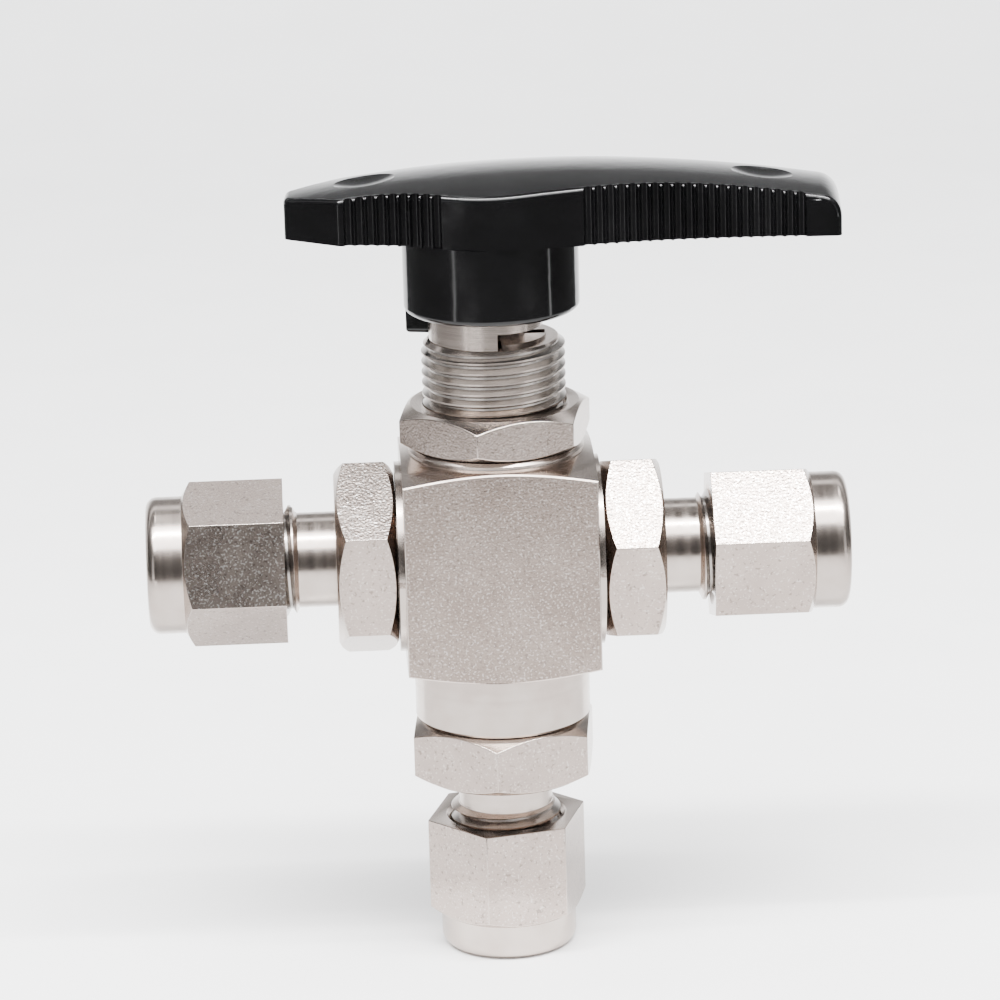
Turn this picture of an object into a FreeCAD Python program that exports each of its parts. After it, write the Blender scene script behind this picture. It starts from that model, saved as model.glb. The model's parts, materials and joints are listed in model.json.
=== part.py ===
import FreeCAD, Part
import math
import os

# Three-way ball valve for 1/4 in tube, in mm. +Z is up the stem and +X is out of the right port.
# The pieces are drawn about the centre of the ball and lifted at the end, so that the origin is
# the mouth of the bottom tube port. Threads are plain cylinders at their outer diameter.

# Tube fitting at each port
tube_dia = 6.35
tube_play = 0.075
tube_depth = 15.3
orifice_dia = 4.8
fitting_thread_dia = 11.11
fitting_thread_lead = 1.3
fitting_neck_dia = 9.5
mouth_depth = 2.6
mouth_taper_deg = 22.0
nut_flats = 14.29
nut_hex_length = 10.1
nut_round_length = 3.6
nut_round_dia = 13.7
nut_rim_radius = 1.1
nut_end_wall = 2.7
nut_chamber_dia = 9.3
nut_chamber_length = 2.2
nut_countersink = 0.5
front_ferrule_length = 3.0
front_ferrule_step = 0.9
front_ferrule_bevel = 0.6
back_ferrule_length = 1.7
ferrule_play = 0.03

# End screws
screw_hex_length = 6.0
screw_hex_gap = 0.1
screw_thread_dia = 13.8
screw_thread_length = 3.0
screw_seal_thickness = 0.75
screw_seal_width = 1.0

# Body
body_flats = 19.2
hexagon_step = 0.87
body_round_dia = 28.4
face_height = 21.5
shoulder_slope_deg = 14.5
pad_rise = 0.6
pad_margin = 0.1
neck_dia = 17.6
neck_height = 0.85
boss_height = 6.05
collar_dia = 14.29
collar_length = 10.8
collar_chamfer = 0.7
stop_dia = 12.7
stop_height = 2.65
stop_first_deg = 172.0
stop_last_deg = 272.0
edge_break = 0.3

# Panel nut
panel_nut_height = 4.2

# Ball, seats and what presses on them
ball_dia = 11.2
ball_play = 0.2
ball_slot_width = 2.4
ball_slot_depth = 1.6
seat_dia = 8.4
seat_wall = 0.8
seat_length = 2.3
carrier_wall = 0.8
carrier_cup = 1.7
carrier_length = 2.9
carrier_seal_width = 1.1
carrier_seal_depth = 0.95
seat_spring_height = 0.65
seat_spring_thickness = 0.35
seat_spring_bore = 6.0
support_dia = 9.0
support_length = 2.6
support_wall = 1.4

# Stem and its packing
stem_dia = 6.4
stem_shoulder_dia = 8.6
stem_shoulder_height = 1.35
stem_tang_length = 5.6
stem_flats = 5.2
bearing_height = 0.75
ledge_height = 1.5
packing_dia = 9.8
packing_height = 1.5
packing_vee = 0.4
gland_height = 1.5
packing_spring_height = 0.8
packing_spring_thickness = 0.4
packing_bolt_dia = 10.5
packing_bolt_rise = 0.3
packing_bolt_slot = 1.4

# Handle
handle_turn_deg = -3.7
hub_dia = 17.4
hub_height = 7.7
hub_gap = 0.3
hub_edge_radius = 0.6
long_arm = 34.4
long_end_width = 10.8
long_arm_spread = 9.0
short_arm = 20.1
short_end_width = 10.5
short_arm_spread_share = 0.24
nose_share = 0.28
nose_width = 3.6
handle_corner_radius = 1.0
handle_height = 6.45
crest_offset = 7.3
crown_length_radius = 158.0
crown_width_radius = 36.0
long_end_drop_radius = 2.2
top_edge_radius = 0.6
dish_dia = 5.9
dish_depth = 0.5
dish_offset = 0.8
short_arm_dish_at = 0.66
long_arm_dish_at = 0.81
rib_pitch = 1.085
rib_groove_dia = 1.0
rib_groove_depth = 0.45
short_arm_ribs = 9
short_arm_rib_margin = 0.9
long_arm_ribs = 20
long_arm_rib_margin = 3.95
handle_wall = 1.7
handle_skin = 2.2
handle_web = 1.3
handle_web_pitch = 8.0
lug_gap = 0.1
lug_corner_radius = 0.5
lug_first_deg = 92.5
lug_last_deg = 171.5
insert_dia = 10.0
insert_gap = 1.3
insert_length = 8.9
insert_groove = 0.6
set_screw_dia = 3.0
set_screw_length = 3.4
set_screw_height = 5.8
set_screw_key = 1.5
set_screw_hole_dia = 3.8

# Which way a corner of each hexagon points, in degrees
panel_nut_corner_deg = 257.5
screw_corner_deg = {"left": 26.5, "right": 16.0, "bottom": 6.3}
nut_corner_deg = {"left": 44.0, "right": 16.0, "bottom": 16.5}

# How much neck shows between each end screw's hexagon and its tube nut
nut_gap = {"left": 5.1, "right": 4.9, "bottom": 4.6}

# Gaps between pieces, measured square to the faces
run_gap = 0.05
touch_gap = 0.03
thread_gap = 0.02
hex_face_share = 0.96
hex_chamfer_deg = 30.0

V = FreeCAD.Vector
ORIGIN = V(0, 0, 0)
UP = V(0, 0, 1)

# Distances from the ball's centre, and other sizes that follow from the ones above. Those of a tube
# fitting, from nut_end to tube_stop, count from the inner end of its nut
ball_radius = ball_dia / 2
ball_socket = ball_radius + touch_gap
orifice = orifice_dia / 2
hub_radius = hub_dia / 2
slope = math.tan(math.radians(shoulder_slope_deg))
hex_slope = math.tan(math.radians(hex_chamfer_deg))
mouth_slope = math.tan(math.radians(mouth_taper_deg))

front_face = body_flats / 2
screw_flats = body_flats - 2 * hexagon_step
side_face = front_face + pad_rise
neck_top = face_height / 2 + neck_height
bottom_face = face_height / 2 + boss_height
collar_rim = neck_top + collar_length
stop_top = collar_rim + stop_height

hex_end = screw_hex_gap + screw_hex_length
nut_end = nut_hex_length + nut_round_length
port_height = bottom_face + hex_end + nut_gap["bottom"] + nut_end
nut_shoulder = nut_end - nut_end_wall
ferrule_joint = nut_shoulder - touch_gap - back_ferrule_length
mouth = ferrule_joint - front_ferrule_step
mouth_root = mouth - mouth_depth
tube_stop = nut_end - tube_depth
tube_bore = tube_dia / 2 + tube_play
mouth_radius = tube_bore + mouth_depth * mouth_slope
fitting_thread = fitting_thread_dia / 2
screw_thread = screw_thread_dia / 2

seat_back = ball_radius + seat_wall
carrier_front = seat_back - carrier_cup
carrier_back = seat_back + carrier_length
carrier_radius = seat_dia / 2 + carrier_wall
pocket_floor = carrier_back + seat_spring_height
pocket_radius = carrier_radius + run_gap
chamber_radius = max(ball_radius + ball_play, carrier_radius + ball_play)
support_bottom = ball_radius + support_wall

stem_radius = stem_dia / 2
stem_bore = stem_radius + run_gap
shoulder_bottom = ball_radius + ball_play
shoulder_top = shoulder_bottom + stem_shoulder_height
recess_radius = stem_shoulder_dia / 2 + run_gap
bearing_top = shoulder_top + run_gap + bearing_height
ledge_top = bearing_top + ledge_height
packing_bore = packing_dia / 2
lower_packing_top = ledge_top + packing_height
upper_packing_top = lower_packing_top + packing_height
gland_top = upper_packing_top + gland_height
springs_top = gland_top + 2 * packing_spring_height
packing_bolt_top = collar_rim + packing_bolt_rise
packing_bolt = packing_bolt_dia / 2
bolt_bore = packing_bolt + thread_gap

hub_bottom = stop_top + hub_gap
underside = hub_bottom + hub_height
crest = underside + handle_height
short_arm_spread = short_arm_spread_share * short_arm
nose_length = nose_share * short_arm
short_arm_first_rib = short_arm - nose_length - short_arm_rib_margin - (short_arm_ribs - 1) * rib_pitch
long_arm_first_rib = long_arm - long_arm_rib_margin - (long_arm_ribs - 1) * rib_pitch
lug_bottom = collar_rim + lug_gap
insert_bottom = collar_rim + insert_gap
insert_top = insert_bottom + insert_length
insert_radius = insert_dia / 2
stem_top = insert_top - run_gap
set_screw_at = insert_bottom + set_screw_height


def lathe(profile, sweep_deg=360.0):
    """A turned piece about Z, from the closed outline of its section as (radius, height)."""
    points = [V(r, 0, z) for r, z in profile]
    return Part.Face(Part.makePolygon(points + points[:1])).revolve(ORIGIN, UP, sweep_deg)


def ring(inner, outer, bottom, top, sweep_deg=360.0):
    """A plain ring, or the part of one that starts at +X and turns towards +Y."""
    return lathe([(inner, bottom), (outer, bottom), (outer, top), (inner, top)], sweep_deg)


def rod(radius, bottom, top):
    """A plain cylinder on the Z axis."""
    return Part.makeCylinder(radius, top - bottom, V(0, 0, bottom))


def turned_about_z(shape, angle_deg):
    """The shape turned about the Z axis."""
    return shape.rotated(ORIGIN, UP, angle_deg)


def hexagon(flats, bottom, top, corner_deg=0.0):
    """A hexagonal bar on the Z axis with one corner at the given angle."""
    corner = flats / math.sqrt(3)
    angles = [math.radians(corner_deg + 60 * i) for i in range(6)]
    points = [V(corner * math.cos(a), corner * math.sin(a), bottom) for a in angles]
    return Part.Face(Part.makePolygon(points + points[:1])).extrude(UP * (top - bottom))


def chamfered_hexagon(flats, bottom, top, corner_deg):
    """A hexagonal bar with its corners turned away in a cone at both ends."""
    face = hex_face_share * flats / 2
    corner = flats / math.sqrt(3)
    drop = (corner - face) * hex_slope
    lower = [(0, bottom), (face, bottom), (corner, bottom + drop)]
    upper = [(corner, top - drop), (face, top), (0, top)]
    return hexagon(flats, bottom, top, corner_deg).common(lathe(lower + upper))


def disc_spring(inner, outer, inner_height, outer_height, thickness):
    """A coned spring washer, with the heights of its lower face at both rims."""
    return lathe(
        [
            (inner, inner_height),
            (outer, outer_height),
            (outer, outer_height + thickness),
            (inner, inner_height + thickness),
        ]
    )


def to_port(shape, port, reach=0.0):
    """Lays a shape drawn up the Z axis along a port, with its base at reach from the ball's centre."""
    angle = {"right": 90, "left": -90, "bottom": 180}[port]
    axis = V(1, 0, 0) if port == "bottom" else V(0, 1, 0)
    return shape.translated(V(0, 0, reach)).rotated(ORIGIN, axis, angle)


def port_corner(port, corner_deg):
    """The angle about a port's own axis of a hexagon corner that stands corner_deg above the front."""
    return {"right": -90 - corner_deg, "left": corner_deg - 90, "bottom": 90 + corner_deg}[port]


def port_face(port):
    """How far from the ball's centre an end screw seats on the body."""
    return bottom_face if port == "bottom" else side_face


def nut_base(port):
    """How far from the ball's centre the inner end of a tube nut is."""
    return port_face(port) + hex_end + nut_gap[port]


def shoulder_at(radius):
    """Height of the turned shoulder of the block above the port axis."""
    return face_height / 2 + (front_face - radius) * slope


def make_body():
    """The square block with its turned shoulders, neck, boss and collar, and all its bores."""
    round_part = body_round_dia / 2
    neck = neck_dia / 2
    collar = collar_dia / 2
    turned = lathe(
        [
            (0, -bottom_face),
            (neck - edge_break, -bottom_face),
            (neck, -bottom_face + edge_break),
            (neck, -shoulder_at(neck)),
            (round_part, -shoulder_at(round_part)),
            (round_part, shoulder_at(round_part)),
            (neck, shoulder_at(neck)),
            (neck, neck_top - edge_break),
            (neck - edge_break, neck_top),
            (collar, neck_top),
            (collar, collar_rim - collar_chamfer),
            (collar - collar_chamfer, collar_rim),
            (0, collar_rim),
        ]
    )
    height = bottom_face + collar_rim
    square = Part.makeBox(body_flats, body_flats, height, V(-front_face, -front_face, -bottom_face))
    pads = [to_port(rod(front_face - pad_margin, 0, side_face), port) for port in ("left", "right")]
    stop = ring(bolt_bore, stop_dia / 2, neck_top, stop_top, stop_last_deg - stop_first_deg)
    solid = turned.common(square).fuse(pads + [turned_about_z(stop, stop_first_deg)])

    screw_hole = screw_thread + thread_gap
    screw_hole_depth = screw_thread_length + screw_seal_thickness
    bores = [
        rod(bolt_bore, springs_top - packing_spring_height, stop_top + 1),
        rod(packing_bore, ledge_top, springs_top),
        rod(stem_bore, 0, stop_top),
        rod(recess_radius, 0, bearing_top),
        rod(support_dia / 2 + touch_gap, -support_bottom, 0),
        rod(orifice, -bottom_face, 0),
    ]
    for port in ("left", "right", "bottom"):
        face = port_face(port)
        bores.append(to_port(rod(screw_hole, face - screw_hole_depth, face + 1), port))
    for port in ("left", "right"):
        bores.append(to_port(rod(chamber_radius, 0, side_face), port))
    return solid.cut(bores).removeSplitter()


def make_end_screw(port):
    """The screwed end connector: body thread, hexagon, neck, fitting thread, tube socket and mouth."""
    inner_end = -screw_thread_length
    neck = fitting_neck_dia / 2
    nut_start = hex_end + nut_gap[port]
    thread_start = nut_start - fitting_thread_lead
    mouth_end = nut_start + mouth
    lead = (fitting_thread - neck) / 2
    outer = lathe(
        [
            (0, inner_end),
            (screw_thread - edge_break, inner_end),
            (screw_thread, inner_end + edge_break),
            (screw_thread, 0),
            (neck, 0),
            (neck, thread_start),
            (fitting_thread, thread_start + lead),
            (fitting_thread, mouth_end - edge_break),
            (fitting_thread - edge_break, mouth_end),
            (0, mouth_end),
        ]
    )
    face = port_face(port)
    corner = port_corner(port, screw_corner_deg[port])
    hex_part = chamfered_hexagon(screw_flats, screw_hex_gap, hex_end, corner)
    spigot = rod(screw_thread - edge_break, 0, screw_hex_gap)
    bore = lathe(
        [
            (0, inner_end),
            (orifice, inner_end),
            (orifice, nut_start + tube_stop),
            (tube_bore, nut_start + tube_stop),
            (tube_bore, nut_start + mouth_root),
            (mouth_radius, mouth_end),
            (0, mouth_end),
        ]
    )
    solid = outer.fuse([hex_part, spigot]).cut(bore)
    if port != "bottom":
        solid = solid.cut(rod(pocket_radius, inner_end, pocket_floor - face))
    return to_port(solid.removeSplitter(), port, face)


def make_screw_seal(port):
    """The flat ring that an end screw clamps against the floor of its thread."""
    top = -screw_thread_length
    seal = ring(screw_thread - screw_seal_width, screw_thread, top - screw_seal_thickness, top)
    return to_port(seal, port, port_face(port))


def make_tube_nut(port):
    """The hexagon nut with its round end, thread bore, ferrule chamber and tube hole."""
    round_part = nut_round_dia / 2
    hex_top = nut_hex_length
    corner = nut_flats / math.sqrt(3)
    rim = nut_rim_radius
    arc_middle = rim * math.sqrt(0.5)
    cone = lathe(
        [
            (0, 0),
            (corner, 0),
            (corner, hex_top - (corner - round_part) * hex_slope),
            (round_part, hex_top),
            (0, hex_top),
        ]
    )
    hex_part = hexagon(nut_flats, 0, hex_top, port_corner(port, nut_corner_deg[port])).common(cone)
    arc_start = V(round_part, 0, nut_end - rim)
    arc_end = V(round_part - rim, 0, nut_end)
    arc_through = arc_start + V(arc_middle - rim, 0, arc_middle)
    rounding = Part.Arc(arc_start, arc_through, arc_end).toShape()
    middle = [V(0, 0, nut_end), V(0, 0, hex_top), V(round_part, 0, hex_top)]
    straight = Part.makePolygon([arc_end] + middle + [arc_start])
    outline = Part.Wire([rounding] + straight.Edges)
    round_end = Part.Face(outline).revolve(ORIGIN, UP, 360)

    thread_bore = fitting_thread + run_gap
    chamber = nut_chamber_dia / 2
    chamber_start = nut_shoulder - nut_chamber_length
    hole = tube_bore + run_gap
    bore = lathe(
        [
            (0, 0),
            (thread_bore + nut_countersink, 0),
            (thread_bore, nut_countersink),
            (thread_bore, chamber_start),
            (chamber, chamber_start),
            (chamber, nut_shoulder),
            (hole, nut_shoulder),
            (hole, nut_end - edge_break),
            (hole + edge_break, nut_end),
            (0, nut_end),
        ]
    )
    solid = hex_part.fuse(round_end).cut(bore).removeSplitter()
    return to_port(solid, port, nut_base(port))


def make_front_ferrule(port):
    """The coned ring that the nut drives into the mouth of the end screw."""
    inner = tube_bore + ferrule_play
    front = ferrule_joint - front_ferrule_length
    lift = touch_gap / math.cos(math.radians(mouth_taper_deg))
    tip = tube_bore + (front - mouth_root) * mouth_slope - lift
    rear = mouth_radius - lift
    ferrule = lathe(
        [
            (inner, front),
            (tip, front),
            (rear, mouth),
            (rear, ferrule_joint),
            (inner + front_ferrule_bevel, ferrule_joint),
            (inner, ferrule_joint - front_ferrule_bevel),
        ]
    )
    return to_port(ferrule, port, nut_base(port))


def make_back_ferrule(port):
    """The collar behind the front ferrule, with the nose that fits into it."""
    inner = tube_bore + ferrule_play
    outer = nut_chamber_dia / 2 - ferrule_play
    rear = ferrule_joint + back_ferrule_length
    ferrule = lathe(
        [
            (inner, ferrule_joint - front_ferrule_bevel),
            (inner + front_ferrule_bevel, ferrule_joint),
            (outer, ferrule_joint),
            (outer, rear),
            (inner, rear),
        ]
    )
    return to_port(ferrule, port, nut_base(port))


def make_ball():
    """The ball with a port below, a port towards the long arm of the handle, and the stem's slot."""
    ball = Part.makeSphere(ball_radius)
    slot_floor = ball_radius - ball_slot_depth
    corner = V(-ball_radius, -ball_slot_width / 2, slot_floor)
    slot = Part.makeBox(ball_dia, ball_slot_width, ball_slot_depth, corner)
    port_side = to_port(rod(orifice, 0, ball_radius), "right")
    port_down = to_port(rod(orifice, 0, ball_radius), "bottom")
    elbow = Part.makeSphere(orifice)
    return ball.cut([slot, port_side, port_down, elbow])


def make_seat(port):
    """The soft ring that seals on the ball."""
    seat = ring(orifice, seat_dia / 2, seat_back - seat_length, seat_back)
    return to_port(seat.cut(Part.makeSphere(ball_socket)), port)


def make_carrier(port):
    """The steel cup behind a seat, with a groove for its seal."""
    groove_top = carrier_back - (carrier_length - carrier_seal_width) / 2
    groove_bottom = groove_top - carrier_seal_width
    groove = carrier_radius - carrier_seal_depth
    carrier = lathe(
        [
            (orifice, seat_back),
            (seat_dia / 2, seat_back),
            (seat_dia / 2, carrier_front),
            (carrier_radius, carrier_front),
            (carrier_radius, groove_bottom),
            (groove, groove_bottom),
            (groove, groove_top),
            (carrier_radius, groove_top),
            (carrier_radius, carrier_back),
            (orifice, carrier_back),
        ]
    )
    return to_port(carrier, port)


def make_carrier_seal(port):
    """The ring in a carrier's groove."""
    middle = carrier_back - carrier_length / 2
    half = carrier_seal_width / 2
    groove = carrier_radius - carrier_seal_depth
    return to_port(ring(groove, pocket_radius, middle - half, middle + half), port)


def make_seat_spring(port):
    """The coned washer that presses a carrier towards the ball."""
    flat = seat_spring_height - seat_spring_thickness
    spring = disc_spring(
        seat_spring_bore / 2, carrier_radius, carrier_back, carrier_back + flat, seat_spring_thickness
    )
    return to_port(spring, port)


def make_ball_support():
    """The soft cup that carries the ball from below."""
    cup = ring(orifice, support_dia / 2, -support_bottom, support_length - support_bottom)
    return cup.cut(Part.makeSphere(ball_socket))


def make_stem():
    """The stem: a tang in the ball's slot, a shoulder that can't blow out, and flats for the handle."""
    tang_bottom = ball_radius - ball_slot_depth + run_gap
    tang_width = ball_slot_width - 2 * run_gap
    tang = Part.makeBox(
        stem_tang_length,
        tang_width,
        shoulder_top - tang_bottom,
        V(-stem_tang_length / 2, -tang_width / 2, tang_bottom),
    )
    turned = lathe(
        [
            (0, shoulder_bottom),
            (stem_shoulder_dia / 2, shoulder_bottom),
            (stem_shoulder_dia / 2, shoulder_top),
            (stem_radius, shoulder_top),
            (stem_radius, stem_top - edge_break),
            (stem_radius - edge_break, stem_top),
            (0, stem_top),
        ]
    )
    stem = turned.fuse(tang)
    flats_bottom = packing_bolt_top
    for side in (-1, 1):
        start = V(-stem_dia / 2, side * (stem_flats / 2 + stem_dia / 2) - stem_dia / 2, flats_bottom)
        stem = stem.cut(Part.makeBox(stem_dia, stem_dia, stem_top, start))
    return turned_about_z(stem, handle_turn_deg)


def make_lower_packing():
    """The packing ring on the ledge, with a vee in its top."""
    middle = (stem_bore + packing_bore) / 2
    inner = stem_radius + touch_gap
    top = lower_packing_top
    base = [(inner, ledge_top), (packing_bore, ledge_top)]
    return lathe(base + [(packing_bore, top), (middle, top - packing_vee), (inner, top)])


def make_upper_packing():
    """The packing ring above, whose ridge fits into the vee."""
    middle = (stem_bore + packing_bore) / 2
    inner = stem_radius + touch_gap
    bottom = lower_packing_top
    top = upper_packing_top
    base = [(inner, bottom), (middle, bottom - packing_vee), (packing_bore, bottom)]
    return lathe(base + [(packing_bore, top), (inner, top)])


def make_packing_springs():
    """Two coned washers, set rim to rim, that keep the packing tight."""
    flat = packing_spring_height - packing_spring_thickness
    outer = packing_bore - run_gap
    middle = gland_top + packing_spring_height
    lower = disc_spring(stem_bore, outer, gland_top, gland_top + flat, packing_spring_thickness)
    upper = disc_spring(stem_bore, outer, middle + flat, middle, packing_spring_thickness)
    return Part.makeCompound([lower, upper])


def make_packing_bolt():
    """The screwed ring in the collar that loads the springs, with cross slots for a key."""
    bolt = ring(stem_bore, packing_bolt, springs_top, packing_bolt_top)
    slot_floor = packing_bolt_top - packing_bolt_slot
    corner = V(-packing_bolt, -packing_bolt_slot / 2, slot_floor)
    slot = Part.makeBox(packing_bolt_dia, packing_bolt_slot, packing_bolt_slot, corner)
    return bolt.cut([slot, turned_about_z(slot, 90)])


def make_panel_nut():
    """The thin nut that clamps a panel on the collar."""
    bottom = neck_top + touch_gap
    top = bottom + panel_nut_height
    nut = chamfered_hexagon(screw_flats, bottom, top, panel_nut_corner_deg)
    return nut.cut(rod(collar_dia / 2 + run_gap, bottom, top))


def half_width(x):
    """Half the handle's width at x: a bell that is as wide as the hub at the stem."""
    end = (long_end_width if x > 0 else short_end_width) / 2
    spread = long_arm_spread if x > 0 else short_arm_spread
    return end + (hub_radius - end) * math.exp(-0.5 * (x / spread) ** 2)


def handle_prism(inset, bottom, top):
    """The handle's plan as a prism, drawn in by inset all round."""
    right = long_arm - inset
    left = nose_length - short_arm
    steps = 10
    stations = [left + (right - left) * i / steps for i in range(steps + 1)]
    points = [V(x, inset - half_width(x), bottom) for x in stations]
    front = Part.BSplineCurve()
    front.interpolate(points)
    front = front.toShape()
    back = front.mirror(ORIGIN, V(0, 1, 0))
    nose = V(inset - short_arm, inset - nose_width / 2, bottom)
    flip = V(nose.x, -nose.y, bottom)
    end = Part.makeLine(points[-1], V(points[-1].x, -points[-1].y, bottom))
    nose_edges = Part.makePolygon([V(points[0].x, -points[0].y, bottom), flip, nose, points[0]]).Edges
    outline = Part.Wire(Part.__sortEdges__([front, end, back] + nose_edges))
    return Part.Face(outline).extrude(UP * (top - bottom))


def crown(lowered=0.0):
    """What lies under the handle's top, which is arched along its length and across its width."""
    top = crest - lowered
    reach = hub_dia
    edge = top - crown_width_radius + math.sqrt(crown_width_radius**2 - reach**2)
    floor = top - 2 * crown_width_radius
    front = V(crest_offset, -reach, edge)
    back = V(crest_offset, reach, edge)
    arc = Part.Arc(front, V(crest_offset, 0, top), back).toShape()
    sides = Part.makePolygon([back, V(crest_offset, reach, floor), V(crest_offset, -reach, floor), front])
    centre = V(crest_offset, 0, top - crown_length_radius)
    half_sweep = math.degrees(math.asin(long_arm / crown_length_radius)) * 1.5
    section = Part.Face(Part.Wire([arc] + sides.Edges)).rotated(centre, V(0, 1, 0), -half_sweep)
    return section.revolve(centre, V(0, 1, 0), 2 * half_sweep)


def dishes():
    """Two balls that press a shallow thumb dish into the top of each arm."""
    ball = ((dish_dia / 2) ** 2 + dish_depth**2) / (2 * dish_depth)
    cuts = []
    for x in (-short_arm_dish_at * short_arm, long_arm_dish_at * long_arm):
        fall = crown_length_radius - math.sqrt(crown_length_radius**2 - (x - crest_offset) ** 2)
        cuts.append(Part.makeSphere(ball, V(x, dish_offset, crest - fall - dish_depth + ball)))
    return cuts


def handle_pockets():
    """The hollows cored out of the underside, between the outer wall, the hub and the webs."""
    hollow = handle_prism(handle_wall, underside, crest).common(crown(handle_skin))
    keep = [rod(hub_radius, underside, crest)]
    length = long_arm + short_arm
    web = handle_web / 2
    keep.append(Part.makeBox(length, handle_web, handle_height, V(-short_arm, -web, underside)))
    x = hub_radius + handle_web_pitch
    while x < long_arm:
        keep.append(Part.makeBox(handle_web, hub_dia, handle_height, V(x - web, -hub_radius, underside)))
        x += handle_web_pitch
    return hollow.cut(keep)


def rib_grooves():
    """The upright finger grooves cut into both sides of both arms."""
    radius = rib_groove_dia / 2
    short_stations = [-short_arm_first_rib - i * rib_pitch for i in range(short_arm_ribs)]
    long_stations = [long_arm_first_rib + i * rib_pitch for i in range(long_arm_ribs)]
    grooves = []
    for x in short_stations + long_stations:
        for side in (-1, 1):
            y = side * (half_width(x) + radius - rib_groove_depth)
            grooves.append(Part.makeCylinder(radius, handle_height + 2, V(x, y, underside - 1)))
    return grooves


def is_upright(edge):
    """True for an edge that runs straight up."""
    return edge.BoundBox.ZLength > 0.99 * edge.Length


def make_bar():
    """The lever's bar: crowned on top, with rounded corners and top edges and a dropped long end."""
    bar = handle_prism(0, underside, crest).common(crown())
    corners = [e for e in bar.Edges if is_upright(e) and e.BoundBox.XMax < 0]
    bar = bar.makeFillet(handle_corner_radius, corners)
    across_end = [
        e
        for e in bar.Edges
        if e.BoundBox.XMin > long_arm - 1 and e.BoundBox.ZMin > underside and e.BoundBox.YLength > 1
    ]
    bar = bar.makeFillet(long_end_drop_radius, across_end)
    at_top = [e for e in bar.Edges if e.BoundBox.ZMax > underside + 1 and not is_upright(e)]
    seams_start = long_arm - 2 * long_end_drop_radius
    along_top = [e for e in at_top if e.BoundBox.XMin < seams_start or e.BoundBox.YLength < 1]
    return bar.makeFillet(top_edge_radius, along_top)


def make_handle():
    """The moulded lever: the bar with its ribs and hollows, the hub and the stop lug."""
    bar = make_bar().cut(rib_grooves() + dishes() + [handle_pockets()])
    hub = rod(hub_radius, hub_bottom, underside)
    hub = hub.makeFillet(hub_edge_radius, [e for e in hub.Edges if e.BoundBox.ZMax < hub_bottom + run_gap])
    lug_top = hub_bottom + 2 * hub_edge_radius
    lug = ring(packing_bolt + 2 * run_gap, hub_radius, lug_bottom, lug_top, lug_last_deg - lug_first_deg)
    lower_edges = [e for e in lug.Edges if e.BoundBox.ZMax < lug_bottom + run_gap]
    lug = turned_about_z(lug.makeFillet(lug_corner_radius, lower_edges), lug_first_deg)
    screw_line = V(0, 0, set_screw_at)
    access = Part.makeCylinder(set_screw_hole_dia / 2, 2 * hub_radius, screw_line, V(0, 1, 0))
    insert_room = make_insert_blank()
    top_room = rod(insert_radius, insert_top, insert_top + run_gap)
    handle = bar.fuse([hub, lug]).cut([insert_room, top_room, access])
    return turned_about_z(handle.removeSplitter(), handle_turn_deg)


def make_insert_blank():
    """The steel insert before its bores: a round bar with a groove that locks it in the moulding."""
    groove_middle = (hub_bottom + insert_top) / 2 - insert_groove
    inner = insert_radius - insert_groove
    return lathe(
        [
            (0, insert_bottom),
            (insert_radius, insert_bottom),
            (insert_radius, groove_middle - insert_groove),
            (inner, groove_middle - insert_groove),
            (inner, groove_middle + insert_groove),
            (insert_radius, groove_middle + insert_groove),
            (insert_radius, insert_top),
            (0, insert_top),
        ]
    )


def make_insert():
    """The steel insert with its two-flat bore and the set screw's hole."""
    bore = rod(stem_radius + thread_gap, insert_bottom, insert_top)
    width = stem_flats + 2 * thread_gap
    slab = Part.makeBox(stem_dia * 2, width, insert_length, V(-stem_dia, -width / 2, insert_bottom))
    screw_line = V(0, 0, set_screw_at)
    screw_hole = Part.makeCylinder(set_screw_dia / 2 + thread_gap, hub_radius, screw_line, V(0, 1, 0))
    return turned_about_z(make_insert_blank().cut([bore.common(slab), screw_hole]), handle_turn_deg)


def make_set_screw():
    """The socket set screw behind the hub that grips the stem's flat."""
    start = stem_flats / 2 + thread_gap
    screw = rod(set_screw_dia / 2, start, start + set_screw_length)
    socket = hexagon(set_screw_key, start + set_screw_length / 2, start + set_screw_length)
    screw = screw.cut(socket).rotated(ORIGIN, V(1, 0, 0), -90)
    return turned_about_z(screw.translated(V(0, 0, set_screw_at)), handle_turn_deg)


def all_pieces():
    """Every piece by name, about the centre of the ball."""
    pieces = {
        "valve_body": make_body(),
        "panel_nut": make_panel_nut(),
        "ball": turned_about_z(make_ball(), handle_turn_deg),
        "ball_support": make_ball_support(),
        "stem": make_stem(),
        "stem_bearing": ring(stem_bore, recess_radius - run_gap, shoulder_top + run_gap, bearing_top),
        "lower_packing": make_lower_packing(),
        "upper_packing": make_upper_packing(),
        "packing_gland": ring(stem_bore, packing_bore - run_gap, upper_packing_top, gland_top),
        "packing_springs": make_packing_springs(),
        "packing_bolt": make_packing_bolt(),
        "handle": make_handle(),
        "handle_insert": make_insert(),
        "handle_set_screw": make_set_screw(),
    }
    for port in ("left", "right", "bottom"):
        pieces["end_screw_" + port] = make_end_screw(port)
        pieces["end_seal_" + port] = make_screw_seal(port)
        pieces["tube_nut_" + port] = make_tube_nut(port)
        pieces["front_ferrule_" + port] = make_front_ferrule(port)
        pieces["back_ferrule_" + port] = make_back_ferrule(port)
    for port in ("left", "right"):
        pieces["seat_" + port] = make_seat(port)
        pieces["seat_carrier_" + port] = make_carrier(port)
        pieces["carrier_seal_" + port] = make_carrier_seal(port)
        pieces["seat_spring_" + port] = make_seat_spring(port)
    return pieces


os.makedirs("parts", exist_ok=True)
for name, shape in all_pieces().items():
    shape.translated(V(0, 0, port_height)).exportStep("parts/" + name + ".step")
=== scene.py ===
"""The looks of a three-way ball valve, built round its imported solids. Lengths are in metres."""

import json
import math

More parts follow.
